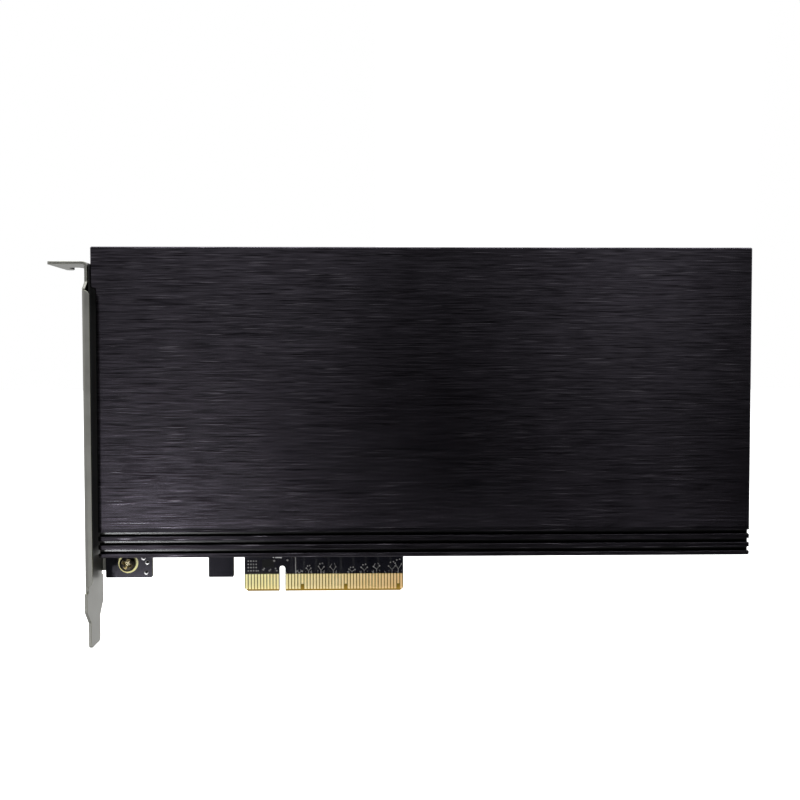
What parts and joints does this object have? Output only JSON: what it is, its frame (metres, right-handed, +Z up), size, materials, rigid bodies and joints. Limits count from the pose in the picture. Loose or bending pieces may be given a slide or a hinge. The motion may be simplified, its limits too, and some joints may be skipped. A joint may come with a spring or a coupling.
{
  "type": "drive adapter card",
  "caption": "Full-height expansion card: black board with a gold edge connector and steel slot bracket, under a flat brushed black aluminium cover with grooves along its foot.",
  "frame": {"origin": "on the lowest line of the edge connector, at the middle of its key notch, in the board's mid-plane", "axes": "+Z up out of the slot, +X along the card away from the bracket, -Y towards the component side and the cover"},
  "size_m": [0.2188, 0.0254, 0.125],
  "materials": {
    "black_anodised": "satin",
    "board_mask": "satin",
    "gold_plate": "gloss",
    "plated_steel": "satin",
    "black_screw": "satin",
    "nickel_spacer": "satin",
    "chip_case": "matte",
    "chip_lid": "satin",
    "socket_plastic": "matte",
    "thermal_pad": "matte",
    "inductor_case": "matte",
    "tantalum_case": "matte",
    "capacitor_ceramic": "satin",
    "crystal_can": "satin",
    "fuse_body": "matte",
    "led_lens": "gloss",
    "resistor_body": "satin"
  },
  "bodies": {
    "root": {"heatsink_cover": "black_anodised", "circuit_board": "board_mask", "edge_contacts_front": "gold_plate", "edge_contacts_back": "gold_plate", "io_bracket": "plated_steel", "bracket_screws": "black_screw", "bracket_hole_rings": "gold_plate", "cover_spacers": "nickel_spacer", "cover_screws": "black_screw", "switch_chip": "chip_lid", "switch_thermal_pad": "thermal_pad", "drive_standoffs": "nickel_spacer", "power_inductors": "inductor_case", "voltage_regulators": "chip_case", "bulk_capacitors": "tantalum_case", "ceramic_capacitors": "capacitor_ceramic", "output_capacitors": "capacitor_ceramic", "clock_buffer": "chip_case", "clock_crystal": "crystal_can", "configuration_memory": "chip_case", "input_fuse": "fuse_body", "indicator_leds": "led_lens", "led_resistors": "resistor_body", "coupling_capacitors": "capacitor_ceramic", "decoupling_capacitors": "capacitor_ceramic", "drive_socket_1": "socket_plastic", "drive_thermal_pad_1": "thermal_pad", "drive_socket_2": "socket_plastic", "drive_thermal_pad_2": "thermal_pad", "drive_socket_3": "socket_plastic", "drive_thermal_pad_3": "thermal_pad", "drive_socket_4": "socket_plastic", "drive_thermal_pad_4": "thermal_pad"}
  },
  "joints": []
}
